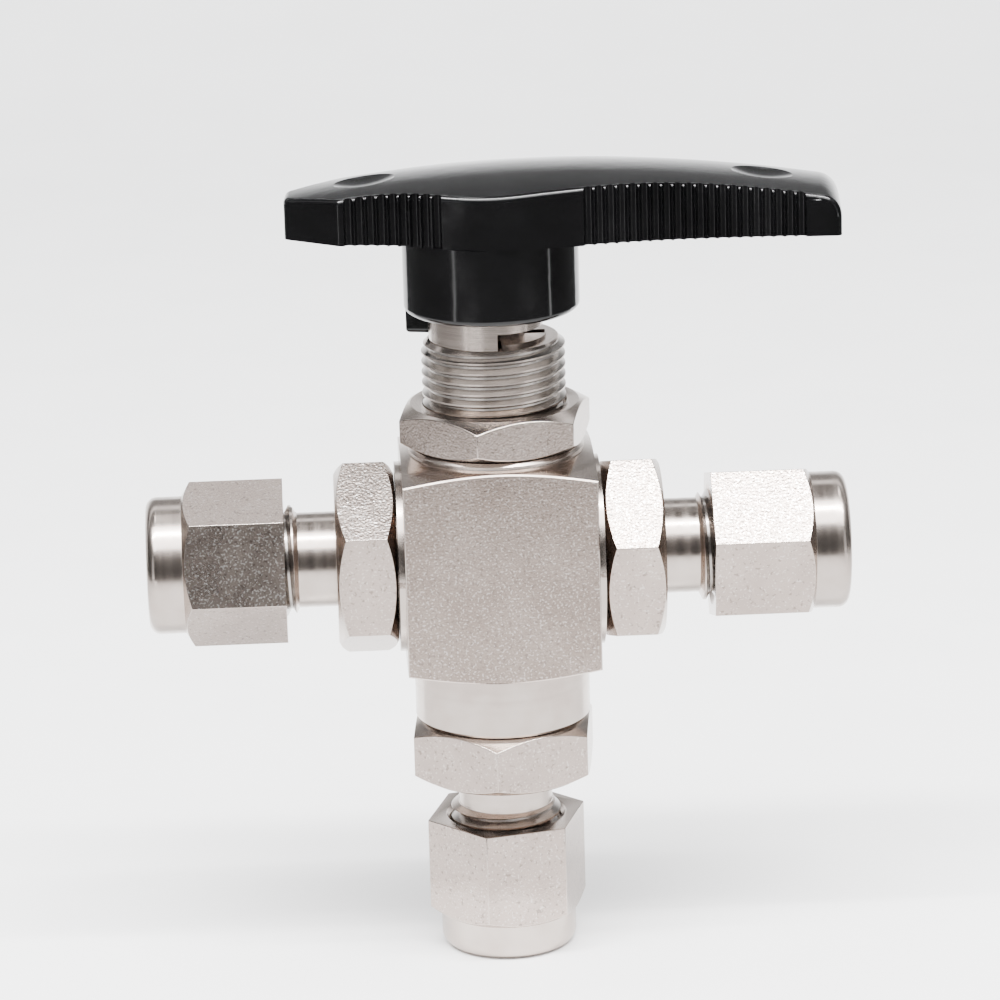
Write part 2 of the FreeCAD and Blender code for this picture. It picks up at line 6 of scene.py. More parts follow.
import bmesh
import bpy
from mathutils import Matrix, Vector
from mathutils.bvhtree import BVHTree
from mathutils.interpolate import poly_3d_calc
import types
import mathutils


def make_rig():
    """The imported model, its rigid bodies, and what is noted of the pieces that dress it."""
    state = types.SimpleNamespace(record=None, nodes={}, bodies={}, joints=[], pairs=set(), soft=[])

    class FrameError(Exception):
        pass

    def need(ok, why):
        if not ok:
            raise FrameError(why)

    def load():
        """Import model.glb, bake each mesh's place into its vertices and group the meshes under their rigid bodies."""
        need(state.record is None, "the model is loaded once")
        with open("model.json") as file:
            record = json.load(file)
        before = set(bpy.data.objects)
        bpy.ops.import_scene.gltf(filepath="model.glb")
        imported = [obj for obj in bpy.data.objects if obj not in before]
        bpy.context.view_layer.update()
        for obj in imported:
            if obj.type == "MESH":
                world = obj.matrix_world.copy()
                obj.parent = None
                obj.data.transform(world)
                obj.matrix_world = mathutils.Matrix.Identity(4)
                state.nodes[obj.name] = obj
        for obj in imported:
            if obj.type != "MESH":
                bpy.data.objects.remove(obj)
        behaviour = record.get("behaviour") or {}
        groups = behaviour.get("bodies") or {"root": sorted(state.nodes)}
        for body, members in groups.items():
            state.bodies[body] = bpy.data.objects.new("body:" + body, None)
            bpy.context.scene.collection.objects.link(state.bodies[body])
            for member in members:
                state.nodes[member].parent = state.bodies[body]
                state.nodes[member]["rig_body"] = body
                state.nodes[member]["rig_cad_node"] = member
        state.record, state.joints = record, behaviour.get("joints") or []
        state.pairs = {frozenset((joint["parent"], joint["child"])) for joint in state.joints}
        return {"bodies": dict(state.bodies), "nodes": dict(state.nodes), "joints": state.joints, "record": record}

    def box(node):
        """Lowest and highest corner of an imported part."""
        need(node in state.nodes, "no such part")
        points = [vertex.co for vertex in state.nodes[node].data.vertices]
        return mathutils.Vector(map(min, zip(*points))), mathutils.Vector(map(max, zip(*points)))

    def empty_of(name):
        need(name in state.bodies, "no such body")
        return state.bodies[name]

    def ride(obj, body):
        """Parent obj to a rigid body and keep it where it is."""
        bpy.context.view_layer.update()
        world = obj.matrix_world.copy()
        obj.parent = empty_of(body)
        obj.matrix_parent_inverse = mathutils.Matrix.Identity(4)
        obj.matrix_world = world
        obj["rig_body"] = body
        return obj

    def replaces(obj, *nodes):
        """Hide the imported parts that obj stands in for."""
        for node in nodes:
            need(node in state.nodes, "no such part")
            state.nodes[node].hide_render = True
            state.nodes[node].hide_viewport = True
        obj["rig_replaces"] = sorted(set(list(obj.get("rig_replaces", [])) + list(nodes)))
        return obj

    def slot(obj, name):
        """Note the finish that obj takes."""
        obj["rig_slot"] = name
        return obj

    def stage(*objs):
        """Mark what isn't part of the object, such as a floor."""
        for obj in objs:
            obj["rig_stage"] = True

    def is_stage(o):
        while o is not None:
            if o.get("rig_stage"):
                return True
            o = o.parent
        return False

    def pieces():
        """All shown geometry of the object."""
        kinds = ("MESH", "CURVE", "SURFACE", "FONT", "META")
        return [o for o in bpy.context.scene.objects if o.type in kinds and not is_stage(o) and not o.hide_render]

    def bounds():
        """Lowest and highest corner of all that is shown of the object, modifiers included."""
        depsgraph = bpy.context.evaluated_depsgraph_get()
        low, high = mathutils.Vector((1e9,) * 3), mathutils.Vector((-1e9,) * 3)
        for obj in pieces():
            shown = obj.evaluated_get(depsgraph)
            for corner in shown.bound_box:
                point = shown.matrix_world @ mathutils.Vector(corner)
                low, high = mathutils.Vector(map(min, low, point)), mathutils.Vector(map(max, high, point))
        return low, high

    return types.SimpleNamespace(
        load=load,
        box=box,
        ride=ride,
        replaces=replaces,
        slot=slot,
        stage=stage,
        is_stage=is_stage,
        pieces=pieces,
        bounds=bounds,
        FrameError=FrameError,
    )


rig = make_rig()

MM = 0.001
SIDES = ("left", "right", "bottom")
OUTWARD = {"left": Vector((-1, 0, 0)), "right": Vector((1, 0, 0)), "bottom": Vector((0, 0, -1))}

# Camera, as fitted to the photograph
CAMERA_AZIMUTH = -2.2
CAMERA_ELEVATION = 16.38
CAMERA_ROLL = -1.63
CAMERA_DISTANCE = 0.5
CAMERA_LENS = 180.0
SENSOR_WIDTH = 36.0
IMAGE_PIXELS = 1000
TARGET_HEIGHT = 0.0446
TARGET_PIXEL = (497.86, 519.59)

# Threads: 20 to the inch on the fittings, 24 on the collar. Depth, crest and root are shares of
# the pitch
FITTING_PITCH = 1.27 * MM
FITTING_THREAD_RADIUS = 5.555 * MM
COLLAR_PITCH = 1.058 * MM
COLLAR_THREAD_RADIUS = 7.145 * MM
THREAD_DEPTH = 0.57
THREAD_CREST = 0.16
THREAD_ROOT = 0.18
THREAD_STEPS = 72
FITTING_TURNS = 7.6
FITTING_TURNS_PAST_END = 0.6
COLLAR_RIM_BELOW_BOLT = 0.3 * MM
COLLAR_RUN_OUT = 0.4 * MM
COLLAR_PART_TURN = 0.25

# Edges that are broken, and how sharp an edge has to be for that or for a crease in the shading
EDGE_BREAK = 0.15 * MM
BLOCK_EDGE_BREAK = 0.12 * MM
BREAK_DEGREES = 28
SHARP_DEGREES = 30

# Joining up a node's mesh, and finding a piece's surface on it again
MERGE_DISTANCE = 0.0001 * MM
FLAT_DEGREES = 0.5
CORNER_INSET = 0.02
SAME_SURFACE = 0.01 * MM
SAME_DIRECTION = math.cos(math.radians(15))

# Least distance from the axis of a flat on a 9/16 in hexagon, on an 11/16 in one and on the block
SMALL_HEX_RADIUS = 7.0 * MM
LARGE_HEX_RADIUS = 8.6 * MM
BLOCK_FACE_DISTANCE = 9.5 * MM
# Share of a normal along an axis: least for a face square to it, most for one along it
SQUARE_TO = 0.999
ALONG = 0.02
# Flats whose normals point up by a share between these get the copy with more painted glints
PAINTED_GLINTS_UP = (0.1, 0.9)

# Texture scales in features a metre, and bump depths
BLAST_GRAIN = 5200
BLAST_CLOUDS = 260
BLAST_PIT_SHADES = 2600
BLAST_DIMPLES = 4200
BLAST_PAINTED_GLINTS = 4600
LATHE_RINGS = 9000
LATHE_BANDS = 1400
LATHE_CLOUDS = 350
NYLON_WAVES = 420
NYLON_PATCHES = 130
INNER_GRAIN = 1800
PAPER_GRAIN = 60
BLAST_GRAIN_DEPTH = 0.006 * MM
FINE_DEPTH = 0.004 * MM
NYLON_WAVE_DEPTH = 0.02 * MM
# The factors between which most of a noise lies
NOISE_LOW = 0.3
NOISE_HIGH = 0.7

# Tones of the steel, each as its dark and light colour
SATIN = ((0.37, 0.305, 0.27), (0.43, 0.36, 0.32))
# The block's faces: the same satin steel painted darker, a painted shade
BLOCK_SHADED_SATIN = ((0.255, 0.204, 0.176), (0.315, 0.258, 0.226))
BRIGHT = ((0.44, 0.375, 0.335), (0.51, 0.445, 0.4))
# The thread grooves: turned steel painted darker, a painted shade in the grooves
GROOVE_SHADED = ((0.34, 0.31, 0.29), (0.4, 0.37, 0.345))
# Colour of the painted shade in the pits of the blasted grain
PIT_SHADE_COLOUR = (0.2, 0.16, 0.14, 1)
PIT_SHADE_SHARE = 0.75
PIT_SHADE_EDGE = 0.1
# Colour of the painted glints: light specks that stand for highlights on the blasted grain
PAINTED_GLINT_COLOUR = (0.85, 0.8, 0.76, 1)
PAINTED_GLINT_EDGE = 0.12
NYLON = ((0.0012, 0.0012, 0.0013), (0.0025, 0.0025, 0.0027))
NYLON_ROUGHNESS = (0.08, 0.16)
NYLON_SPECULAR = 0.38

# Floor that sweeps up into the backdrop, whose grey fades in and out with the height
FLOOR_FRONT = -1.2
FLOOR_BACK = 0.6
FLOOR_WIDTH = 2.4
BACKDROP_HEIGHT = 0.9
BACKDROP_BEND = 0.25
BEND_STEPS = 12
PAPER = ((0.93, 0.93, 0.93), (0.96, 0.96, 0.96))
PAPER_ROUGHNESS = 0.9
BACKDROP_GREY = (0.12, 0.12, 0.12, 1)
GREY_FADES_IN = (0.05, 0.3)
GREY_FADES_OUT = (0.6, 0.68)

# Lights, each as its name, place, target, size and power in watts
LIGHTS = (
    ("softbox", (0, -0.26, 0.52), (0, -0.2, 0), (0.8, 0.44), 10),
    ("tube", (0, -0.16, 0.5), (0, 0, 0.05), (0.7, 0.02), 8),
    ("backdrop", (0, 0.2, 0.85), (0, 0.55, 0.2), (1.2, 0.3), 7),
)
WORLD_COLOUR = (0.95, 0.97, 1.0, 1)
WORLD_STRENGTH = 1.0

FLAG_DISTANCE = 0.4
FLAG_HEIGHT = 0.33
WINDOW_HEIGHT = 0.2
ARC_STEP_DEGREES = 5

# Cards on the floor, each as its first and last direction in degrees, inner and outer radius
CARD_HEIGHT = 0.002
FLOOR_CARDS = (
    (-215, 35, 0.02, 0.185),
    (-215, -134, 0.185, 0.225),
    (-110, -44, 0.185, 0.225),
    (-20, 35, 0.185, 0.225),
    (-235, -142, 0.225, FLAG_DISTANCE),
    (-139, -12, 0.225, FLAG_DISTANCE),
    (-9, 50, 0.225, FLAG_DISTANCE),
)
# How the grey of cards and flags changes with the distance from the origin
CARD_FADE = (
    (0.0, 0.68), (0.1, 0.58), (0.15, 0.45), (0.17, 0.42), (0.19, 0.33), (0.21, 0.13),
    (0.235, 0.015), (0.45, 0.015), (0.55, 0.1),
)
# Upright flags with a window on each side, each as its first and last direction in degrees, lowest
# and highest point
WALL_FLAGS = (
    (-200, -147, 0.0, FLAG_HEIGHT),
    (-127, -57, 0.0, FLAG_HEIGHT),
    (-37, 20, 0.0, FLAG_HEIGHT),
    (-147, -127, WINDOW_HEIGHT, FLAG_HEIGHT),
    (-57, -37, WINDOW_HEIGHT, FLAG_HEIGHT),
)
# Strips above the back, each from one x to another, and the y and height of their two edges
TOP_FLAGS = ((-0.6, -0.125), (-0.065, 0.145), (0.225, 0.6))
TOP_FLAG_FRONT = (0.03, 0.56)
TOP_FLAG_BACK = (0.33, 0.52)


def new_material(name):
    """A new node material, with its node tree and its shader."""
    material = bpy.data.materials.new(name)
    material.use_nodes = True
    tree = material.node_tree
    shader = tree.nodes["Principled BSDF"]
    return material, tree, shader


def add_node(tree, kind, inputs=None, **settings):
    """A node with its settings and its inputs, each a value or another node's output."""
    node = tree.nodes.new(kind)
    for key, value in settings.items():
        setattr(node, key, value)
    for key, value in (inputs or {}).items():
        if isinstance(value, bpy.types.NodeSocket):
            tree.links.new(value, node.inputs[key])
        else:
            node.inputs[key].default_value = value
    return node


def noise(tree, vector, scale, detail=2.0, roughness=0.5):
    """A noise texture's factor at so many features a metre."""
    inputs = {"Vector": vector, "Scale": scale, "Detail": detail, "Roughness": roughness}
    return add_node(tree, "ShaderNodeTexNoise", inputs).outputs["Fac"]


def remap(tree, value, low, high, to_low, to_high):
    """The value's range low to high, stretched to another range."""
    inputs = {
        "Value": value, "From Min": low, "From Max": high, "To Min": to_low, "To Max": to_high,
    }
    return add_node(tree, "ShaderNodeMapRange", inputs).outputs["Result"]


def bump(tree, height, depth, normal=None):
    """A bump of the given depth in metres, on top of another normal if there is one."""
    inputs = {"Height": height, "Strength": 1.0, "Distance": depth}
    if normal:
        inputs["Normal"] = normal
    return add_node(tree, "ShaderNodeBump", inputs).outputs["Normal"]


def tint(tree, factor, dark, light):
    """A colour between two, by a noise's factor."""
    ramp = add_node(tree, "ShaderNodeValToRGB", {"Fac": factor})
    first, last = ramp.color_ramp.elements
    first.position, last.position = NOISE_LOW, NOISE_HIGH
    first.color, last.color = (*dark, 1), (*light, 1)
    return ramp.outputs["Color"]


def object_point(tree):
    """The point on the piece, in the row frame."""
    return add_node(tree, "ShaderNodeTexCoord").outputs["Object"]


def ring_point(tree, axis, centre_height):
    """The point as its distance along a side port's or the stem's axis, and from that axis."""
    centre = {"Vector": object_point(tree), "Location": (0, 0, -centre_height)}
    moved = add_node(tree, "ShaderNodeMapping", centre).outputs["Vector"]
    split = add_node(tree, "ShaderNodeSeparateXYZ", {"Vector": moved}).outputs
    along = split["X" if axis == "x" else "Z"]
    across = {"X": split["Y"], "Y": split["Z" if axis == "x" else "X"]}
    flat = add_node(tree, "ShaderNodeCombineXYZ", across).outputs["Vector"]
    radius = add_node(tree, "ShaderNodeVectorMath", {0: flat}, operation="LENGTH").outputs["Value"]
    return add_node(tree, "ShaderNodeCombineXYZ", {"X": along, "Y": radius}).outputs["Vector"]


def mixed(tree, colour, other, share):
    """A colour mixed with another by a share."""
    mix = add_node(tree, "ShaderNodeMixRGB", {"Color1": colour, "Color2": other, "Fac": share})
    return mix.outputs["Color"]


def blasted_steel(
    name, depth, dark, light,
    pit_shades_from=0.62, glints_from=0.64, roughness=0.21, glint_scale=BLAST_PAINTED_GLINTS, glint_share=0.3,
):
    """Stainless flats, blasted to fine dimples, with slight clouds, painted shade as dark pit spots and painted glints
    as light specks.
    """
    material, tree, shader = new_material(name)
    point = object_point(tree)
    grain = noise(tree, point, BLAST_GRAIN, 1.0)
    clouds = noise(tree, point, BLAST_CLOUDS, 2.0)
    pit_shades = noise(tree, point, BLAST_PIT_SHADES, 1.0)
    painted_glints = noise(tree, point, glint_scale, 0.0)
    dimples = noise(tree, point, BLAST_DIMPLES, 0.0)
    # Painted shade: dark spots that stand for the shade in the pits
    pit_shade_share = remap(tree, pit_shades, pit_shades_from, pit_shades_from + PIT_SHADE_EDGE, 0.0, PIT_SHADE_SHARE)
    # Painted glints: light specks that stand for highlights, mixed into the colour
    glint_paint_share = remap(tree, painted_glints, glints_from, glints_from + PAINTED_GLINT_EDGE, 0.0, glint_share)
    colour = mixed(tree, tint(tree, clouds, dark, light), PIT_SHADE_COLOUR, pit_shade_share)
    colour = mixed(tree, colour, PAINTED_GLINT_COLOUR, glint_paint_share)
    dulled = remap(tree, clouds, NOISE_LOW, NOISE_HIGH, roughness * 0.94, roughness * 1.06)
    rough = bump(tree, grain, BLAST_GRAIN_DEPTH)
    shader.inputs["Metallic"].default_value = 1.0
    tree.links.new(colour, shader.inputs["Base Color"])
    tree.links.new(dulled, shader.inputs["Roughness"])
    tree.links.new(bump(tree, dimples, depth, rough), shader.inputs["Normal"])
    return material


def turned_steel(name, axis, centre_height, dark, light, roughness=0.2):
    """Bright stainless with the fine rings that a lathe leaves round an axis."""
    material, tree, shader = new_material(name)
    rings = ring_point(tree, axis, centre_height)
    fine = noise(tree, rings, LATHE_RINGS, 2.0, 0.7)
    broad = noise(tree, rings, LATHE_BANDS, 1.0)
    clouds = noise(tree, object_point(tree), LATHE_CLOUDS, 2.0)
    banded = remap(tree, broad, NOISE_LOW, NOISE_HIGH, roughness * 0.8, roughness * 1.3)
    shader.inputs["Metallic"].default_value = 1.0
    tree.links.new(tint(tree, clouds, dark, light), shader.inputs["Base Color"])
    tree.links.new(banded, shader.inputs["Roughness"])
    tree.links.new(bump(tree, fine, FINE_DEPTH), shader.inputs["Normal"])
    return material


def moulded_nylon():
    """Glossy black moulding with a faint waviness and a few dull patches."""
    material, tree, shader = new_material("black_nylon")
    point = object_point(tree)
    waves = noise(tree, point, NYLON_WAVES, 2.0)
    patches = noise(tree, point, NYLON_PATCHES, 3.0)
    dulled = remap(tree, patches, 0.35, 0.7, *NYLON_ROUGHNESS)
    tree.links.new(tint(tree, patches, *NYLON), shader.inputs["Base Color"])
    tree.links.new(dulled, shader.inputs["Roughness"])
    tree.links.new(bump(tree, waves, NYLON_WAVE_DEPTH), shader.inputs["Normal"])
    shader.inputs["Specular IOR Level"].default_value = NYLON_SPECULAR
    return material


def plain_material(name, dark, light, roughness, metallic=0.0):
    """A material for the inner pieces: two close tones in a fine grain."""
    material, tree, shader = new_material(name)
    grain = noise(tree, object_point(tree), INNER_GRAIN, 3.0)
    uneven = remap(tree, grain, NOISE_LOW, NOISE_HIGH, roughness * 0.85, roughness * 1.15)
    shader.inputs["Metallic"].default_value = metallic
    tree.links.new(tint(tree, grain, dark, light), shader.inputs["Base Color"])
    tree.links.new(uneven, shader.inputs["Roughness"])
    tree.links.new(bump(tree, grain, FINE_DEPTH), shader.inputs["Normal"])
    return material


def set_materials(piece, materials):
    """Gives a piece these materials, with the first on every face."""
    piece.data.materials.clear()
    for material in materials:
        piece.data.materials.append(material)


def paint_flats(piece, axis, centre, least_radius):
    """Puts the second material on the flats along the axis, and the last, with more painted glints, on those that look
    up.
    """
    last = len(piece.data.materials) - 1
    for face in piece.data.polygons:
        offset = face.center - centre
        outer = (offset - axis * offset.dot(axis)).length > least_radius
        outward = face.normal.dot(offset) > 0
        if not (outer and outward and abs(face.normal.dot(axis)) < ALONG):
            face.material_index = 0
        # Flats that look up get the copy with more painted glints
        elif PAINTED_GLINTS_UP[0] < face.normal.z < PAINTED_GLINTS_UP[1]:
            face.material_index = last
        else:
            face.material_index = 1


def soften(piece):
    """Breaks a piece's sharp edges, as a tool leaves them, in its first material."""
    bevel = piece.modifiers.new("edges", "BEVEL")
    bevel.width = EDGE_BREAK
    bevel.segments = 2
    bevel.limit_method = "ANGLE"
    bevel.angle_limit = math.radians(BREAK_DEGREES)
    bevel.material = 0


def soften_block(piece):
    """Chamfers the edges round the block's front and back faces, in its first material."""
    uses = {}
    for face in piece.data.polygons:
        if abs(face.normal.y) > SQUARE_TO and abs(face.center.y) > BLOCK_FACE_DISTANCE:
            for key in face.edge_keys:
                uses[key] = uses.get(key, 0) + 1
    weights = piece.data.attributes.new("bevel_weight_edge", "FLOAT", "EDGE")
    for edge in piece.data.edges:
        weights.data[edge.index].value = float(uses.get(edge.key, 0) == 1)
    bevel = piece.modifiers.new("block_edges", "BEVEL")
    bevel.width = BLOCK_EDGE_BREAK
    bevel.segments = 1
    bevel.limit_method = "WEIGHT"
    bevel.use_clamp_overlap = False
    bevel.material = 0


def take_normals(piece, node):
    """Gives a piece the normals of the node that it was made from, where their surfaces agree."""
    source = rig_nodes[node].data
    source.calc_loop_triangles()
    places = [vertex.co for vertex in source.vertices]
    triangles = list(source.loop_triangles)
    tree = BVHTree.FromPolygons(places, [tuple(t.vertices) for t in triangles])
    mesh = piece.data
    normals = [Vector(normal.vector) for normal in mesh.corner_normals]
    for face in mesh.polygons:
        for loop in face.loop_indices:
            corner = mesh.vertices[mesh.loops[loop].vertex_index].co
            place, _, index, distance = tree.find_nearest(corner.lerp(face.center, CORNER_INSET))
            if distance > SAME_SURFACE:
                continue
            triangle = triangles[index]
            shares = poly_3d_calc([places[i] for i in triangle.vertices], place)
            normal = Vector()
            for share, source_loop in zip(shares, triangle.loops):
                normal += share * Vector(source.corner_normals[source_loop].vector)
            if normal.length > 0 and normal.normalized().dot(face.normal) > SAME_DIRECTION:
                normals[loop] = normal.normalized()
    mesh.normals_split_custom_set(normals)


def apply_modifiers(piece):
    """Makes what a piece's modifiers do its own mesh."""
    graph = bpy.context.evaluated_depsgraph_get()
    result = bpy.data.meshes.new_from_object(piece.evaluated_get(graph))
    piece.modifiers.clear()
    piece.data = result


def joined_copy(node):
    """A new piece from a copy of a node's mesh, with the parts of each flat face joined up."""
    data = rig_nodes[node].data.copy()
    data.attributes.remove(data.attributes["custom_normal"])
    mesh = bmesh.new()
    mesh.from_mesh(data)
    bmesh.ops.remove_doubles(mesh, verts=mesh.verts, dist=MERGE_DISTANCE)
    bmesh.ops.dissolve_limit(
        mesh, angle_limit=math.radians(FLAT_DEGREES), verts=mesh.verts, edges=mesh.edges,
        delimit={"NORMAL"},
    )
    for edge in mesh.edges:
        edge.smooth = True
    mesh.to_mesh(data)
    mesh.free()
    piece = bpy.data.objects.new(node + "_dressed", data)
    bpy.context.scene.collection.objects.link(piece)
    return piece


def thread_groove(radius, pitch, start, turns, material):
    """A cutter for the groove of a right-handed thread up +Z, from a height on."""
    mesh = bmesh.new()
    depth = pitch * THREAD_DEPTH
    half_mouth = pitch * (1 - THREAD_CREST) / 2
    half_root = pitch * THREAD_ROOT / 2
    clear = pitch * THREAD_CREST / 3
    half_outer = half_mouth + clear * (half_mouth - half_root) / depth
    section = [
        (radius - depth, -half_root),
        (radius + clear, -half_outer),
        (radius + clear, half_outer),
        (radius - depth, half_root),
    ]
    rows = []
    for i in range(int(turns * THREAD_STEPS) + 1):
        a = 2 * math.pi * i / THREAD_STEPS
        height = start + pitch * i / THREAD_STEPS
        rows.append([
            mesh.verts.new((r * math.cos(a), r * math.sin(a), height + z)) for r, z in section
        ])
    for low, high in zip(rows, rows[1:]):
        for k in range(4):
            mesh.faces.new((low[k], low[(k + 1) % 4], high[(k + 1) % 4], high[k]))
    mesh.faces.new(rows[0][::-1])
    mesh.faces.new(rows[-1])
    bmesh.ops.recalc_face_normals(mesh, faces=mesh.faces)
    data = bpy.data.meshes.new("groove")
    mesh.to_mesh(data)
    mesh.free()
    data.materials.append(material)
    return data


def cut(piece, cutter_data, place):
    """Cuts a cutter out of a piece, once the piece's own modifiers have worked."""
    cutter = bpy.data.objects.new("cutter", cutter_data)
    cutter.matrix_world = place
    bpy.context.scene.collection.objects.link(cutter)
    boolean = piece.modifiers.new("cut", "BOOLEAN")
    boolean.operation = "DIFFERENCE"
    boolean.solver = "EXACT"
    boolean.object = cutter
    boolean.material_mode = "TRANSFER"
    apply_modifiers(piece)
    bpy.data.objects.remove(cutter)


def port_place(side, centre_height):
    """Lays +Z along a port, outward, from the centre of the ball."""
    turn = Vector((0, 0, 1)).rotation_difference(OUTWARD[side]).to_matrix().to_4x4()
    return Matrix.Translation((0, 0, centre_height)) @ turn


def finish_surface(piece, node):
    """Shades a piece smoothly between its sharp edges, and lets it stand for its node."""
    piece.data.shade_smooth()
    piece.data.set_sharp_from_angle(angle=math.radians(SHARP_DEGREES))
    take_normals(piece, node)
    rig.replaces(piece, node)
    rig.slot(piece, "stainless_steel")
    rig.ride(piece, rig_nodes[node]["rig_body"])


def make_camera():
    """The camera where the photograph was taken from."""
    a, e, roll = (math.radians(x) for x in (CAMERA_AZIMUTH, CAMERA_ELEVATION, CAMERA_ROLL))
    back = Vector((math.sin(a) * math.cos(e), -math.cos(a) * math.cos(e), math.sin(e)))
    level = Vector((math.cos(a), math.sin(a), 0))
    steep = back.cross(level)
    right = level * math.cos(roll) + steep * math.sin(roll)
    up = steep * math.cos(roll) - level * math.sin(roll)
    metres_per_pixel = CAMERA_DISTANCE * SENSOR_WIDTH / (CAMERA_LENS * IMAGE_PIXELS)
    aside = (TARGET_PIXEL[0] - IMAGE_PIXELS / 2) * metres_per_pixel
    above = (IMAGE_PIXELS / 2 - TARGET_PIXEL[1]) * metres_per_pixel
    place = Vector((0, 0, TARGET_HEIGHT)) - right * aside - up * above + back * CAMERA_DISTANCE
    data = bpy.data.cameras.new("camera")
    data.lens = CAMERA_LENS
    data.sensor_width = SENSOR_WIDTH
    data.clip_start = 0.01
    data.clip_end = 10
    camera = bpy.data.objects.new("camera", data)
    turn = Matrix((right, up, back)).transposed().to_4x4()
    camera.matrix_world = Matrix.Translation(place) @ turn
    bpy.context.scene.collection.objects.link(camera)
    bpy.context.scene.camera = camera


def area_light(name, place, target, size, power):
    """A white soft box at a place, turned to a target."""
    data = bpy.data.lights.new(name, "AREA")
    data.shape = "RECTANGLE"
    data.size, data.size_y = size
    data.energy = power
    light = bpy.data.objects.new(name, data)
    light.location = place
    ahead = Vector(target) - Vector(place)
    light.rotation_euler = ahead.to_track_quat("-Z", "Y").to_euler()
    bpy.context.scene.collection.objects.link(light)


def make_stage():
    """The floor that sweeps up into a backdrop."""
    bend = BACKDROP_BEND
    profile = [(FLOOR_FRONT, 0.0), (FLOOR_BACK - bend, 0.0)]
    for i in range(1, BEND_STEPS + 1):
        a = math.pi / 2 * i / BEND_STEPS
        profile.append((FLOOR_BACK - bend + bend * math.sin(a), bend - bend * math.cos(a)))
    profile.append((FLOOR_BACK, BACKDROP_HEIGHT))
    edges = (-FLOOR_WIDTH / 2, FLOOR_WIDTH / 2)
    mesh = bmesh.new()
    rows = [[mesh.verts.new((x, y, z)) for x in edges] for y, z in profile]
    for low, high in zip(rows, rows[1:]):
        mesh.faces.new((low[0], low[1], high[1], high[0])).smooth = True
    data = bpy.data.meshes.new("floor")
    mesh.to_mesh(data)
    mesh.free()
    floor = bpy.data.objects.new("floor", data)
    bpy.context.scene.collection.objects.link(floor)
    material, tree, shader = new_material("floor")
    point = object_point(tree)
    height = add_node(tree, "ShaderNodeSeparateXYZ", {"Vector": point}).outputs["Z"]
    white = tint(tree, noise(tree, point, PAPER_GRAIN, 2.0), *PAPER)
    fades = {
        0: remap(tree, height, *GREY_FADES_IN, 0.0, 1.0),
        1: remap(tree, height, *GREY_FADES_OUT, 1.0, 0.0),
    }
    share = add_node(tree, "ShaderNodeMath", fades, operation="MINIMUM").outputs["Value"]
    colour = mixed(tree, white, BACKDROP_GREY, share)
    tree.links.new(colour, shader.inputs["Base Color"])
    shader.inputs["Roughness"].default_value = PAPER_ROUGHNESS
    floor.data.materials.append(material)
    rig.stage(floor)


def make_flags():
    """Cards on the floor, and flags round the front and above, which only reflections see."""
    material, tree, shader = new_material("flag")
    point = object_point(tree)
    away = add_node(tree, "ShaderNodeVectorMath", {0: point}, operation="LENGTH").outputs["Value"]
    farthest = CARD_FADE[-1][0]
    share = remap(tree, away, 0.0, farthest, 0.0, 1.0)
    ramp = add_node(tree, "ShaderNodeValToRGB", {"Fac": share})
    elements = ramp.color_ramp.elements
    for element, (_, grey) in zip(elements, (CARD_FADE[0], CARD_FADE[-1])):
        element.color = (grey, grey, grey, 1)
    for distance, grey in CARD_FADE[1:-1]:
        elements.new(distance / farthest).color = (grey, grey, grey, 1)
    tree.links.new(ramp.outputs["Color"], shader.inputs["Base Color"])
    shader.inputs["Roughness"].default_value = PAPER_ROUGHNESS
    mesh = bmesh.new()

    def add_arc(first, last, start, end):
        """A strip of card along an arc, whose two edges each have a radius and a height."""
        steps = max(2, round((last - first) / ARC_STEP_DEGREES))
        rows = []
        for i in range(steps + 1):
            a = math.radians(first + (last - first) * i / steps)
            rows.append([
                mesh.verts.new((r * math.cos(a), r * math.sin(a), z)) for r, z in (start, end)
            ])
        for left, right in zip(rows, rows[1:]):
            mesh.faces.new((left[0], right[0], right[1], left[1]))

    for first, last, low, high in WALL_FLAGS:
        add_arc(first, last, (FLAG_DISTANCE, low), (FLAG_DISTANCE, high))
    for first, last, inner, outer in FLOOR_CARDS:
        add_arc(first, last, (inner, CARD_HEIGHT), (outer, CARD_HEIGHT))
    for first, last in TOP_FLAGS:
        front = [(x, *TOP_FLAG_FRONT) for x in (first, last)]
        back = [(x, *TOP_FLAG_BACK) for x in (last, first)]
        mesh.faces.new([mesh.verts.new(corner) for corner in front + back])
    data = bpy.data.meshes.new("flags")
    mesh.to_mesh(data)
    mesh.free()
    flags = bpy.data.objects.new("flags", data)
    flags.visible_camera = False
    flags.visible_shadow = False
    flags.visible_diffuse = False
    flags.data.materials.append(material)
    bpy.context.scene.collection.objects.link(flags)
    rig.stage(flags)


def make_world():
    """An even white surround."""
    world = bpy.data.worlds.new("studio")
    world.use_nodes = True
    background = world.node_tree.nodes["Background"]
    background.inputs["Color"].default_value = WORLD_COLOUR
    background.inputs["Strength"].default_value = WORLD_STRENGTH
    bpy.context.scene.world = world


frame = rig.load()
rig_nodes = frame["nodes"]
cad_box = [list(corner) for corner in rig.bounds()]

seal_low, seal_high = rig.box("end_seal_left")
port_height = (seal_low.z + seal_high.z) / 2
centre = Vector((0, 0, port_height))

calm = blasted_steel("blasted_steel", 0.008 * MM, *SATIN)
# Copy of the blasted steel with more painted glints, for the flats that look up
glint_painted = blasted_steel(
    "glint_painted_steel", 0.035 * MM, *SATIN,
    pit_shades_from=0.6, glints_from=0.58, roughness=0.28, glint_scale=5000, glint_share=0.9,
)
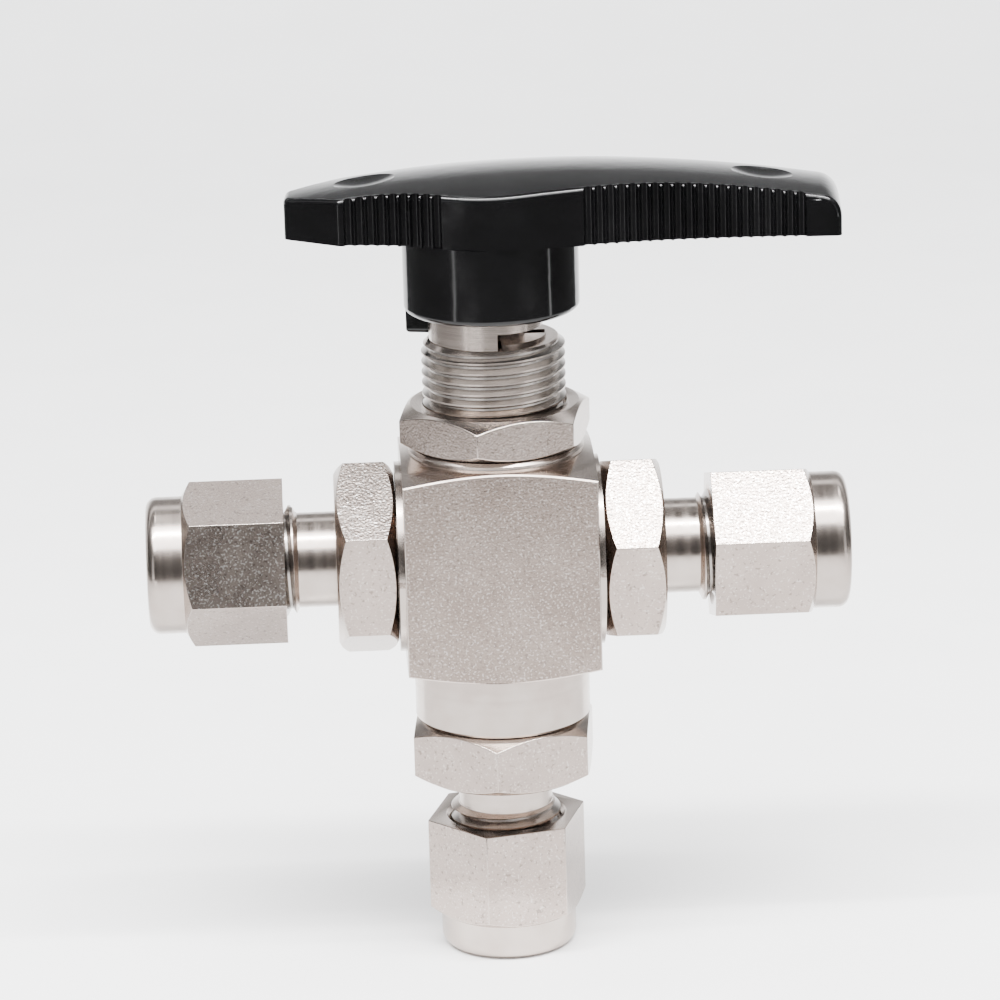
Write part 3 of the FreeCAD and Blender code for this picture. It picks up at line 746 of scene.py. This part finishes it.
# The block's faces: painted shade, as a darker tone and more dark pit spots
shaded_block = blasted_steel("shaded_block_steel", 0.006 * MM, *BLOCK_SHADED_SATIN, pit_shades_from=0.56, glints_from=0.59)
turned_x = turned_steel("turned_steel_x", "x", port_height, *BRIGHT)
turned_z = turned_steel("turned_steel_z", "z", port_height, *BRIGHT)
turned = {"left": turned_x, "right": turned_x, "bottom": turned_z}
# Darker copy of the turned steel for the thread grooves: painted shade
groove_shaded = turned_steel("groove_shaded_steel", "z", port_height, *GROOVE_SHADED)
slot_materials = {
    "polished_steel": turned_z,
    "spring_steel": plain_material("spring_steel", (0.3, 0.29, 0.28), (0.4, 0.39, 0.38), 0.35, 1.0),
    "peek": plain_material("peek", (0.5, 0.41, 0.29), (0.58, 0.48, 0.34), 0.5),
    "ptfe": plain_material("ptfe", (0.82, 0.82, 0.8), (0.9, 0.9, 0.88), 0.45),
    "black_nylon": moulded_nylon(),
}
for row in frame["record"]["subparts"]:
    if row["material_slot"] in slot_materials:
        set_materials(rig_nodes[row["node"]], [slot_materials[row["material_slot"]]])

# Tube nuts and the panel nut: turned all over, with blasted hexagon flats
for side in SIDES:
    nut = joined_copy("tube_nut_" + side)
    set_materials(nut, [turned[side], calm, glint_painted])
    paint_flats(nut, OUTWARD[side], centre, SMALL_HEX_RADIUS)
    soften(nut)
    apply_modifiers(nut)
    finish_surface(nut, "tube_nut_" + side)
panel_nut = joined_copy("panel_nut")
set_materials(panel_nut, [turned_z, calm])
paint_flats(panel_nut, Vector((0, 0, 1)), centre, LARGE_HEX_RADIUS)
soften(panel_nut)
apply_modifiers(panel_nut)
finish_surface(panel_nut, "panel_nut")

# End screws: as the nuts, with their fitting threads
for side in SIDES:
    node = "end_screw_" + side
    screw = joined_copy(node)
    set_materials(screw, [turned[side], calm, glint_painted])
    paint_flats(screw, OUTWARD[side], centre, LARGE_HEX_RADIUS)
    soften(screw)
    reach = max(corner.dot(OUTWARD[side]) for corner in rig.box(node)) - centre.dot(OUTWARD[side])
    start = reach - FITTING_PITCH * FITTING_TURNS
    turns = FITTING_TURNS + FITTING_TURNS_PAST_END
    groove = thread_groove(FITTING_THREAD_RADIUS, FITTING_PITCH, start, turns, groove_shaded)
    cut(screw, groove, port_place(side, port_height))
    finish_surface(screw, node)

# Body: turned but for the block's faces, with the thread of its collar
body = joined_copy("valve_body")
set_materials(body, [turned_z, shaded_block])
for face in body.data.polygons:
    square = max(abs(face.normal.x), abs(face.normal.y)) > SQUARE_TO
    outside = max(abs(face.center.x), abs(face.center.y)) > BLOCK_FACE_DISTANCE
    face.material_index = int(square and outside)
soften_block(body)
collar_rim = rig.box("packing_bolt")[1].z - COLLAR_RIM_BELOW_BOLT
nut_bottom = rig.box("panel_nut")[0].z
turns = (collar_rim - nut_bottom - COLLAR_RUN_OUT) / COLLAR_PITCH
turns = math.floor(turns - COLLAR_PART_TURN) + COLLAR_PART_TURN
start = collar_rim - COLLAR_PITCH * turns
groove = thread_groove(COLLAR_THREAD_RADIUS, COLLAR_PITCH, start, turns, groove_shaded)
cut(body, groove, Matrix.Identity(4))
finish_surface(body, "valve_body")

make_camera()
make_stage()
make_flags()
for light in LIGHTS:
    area_light(*light)
make_world()

sizes = {"cad": cad_box, "visual": [list(corner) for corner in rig.bounds()]}
with open("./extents.json", "w") as f:
    json.dump(sizes, f)
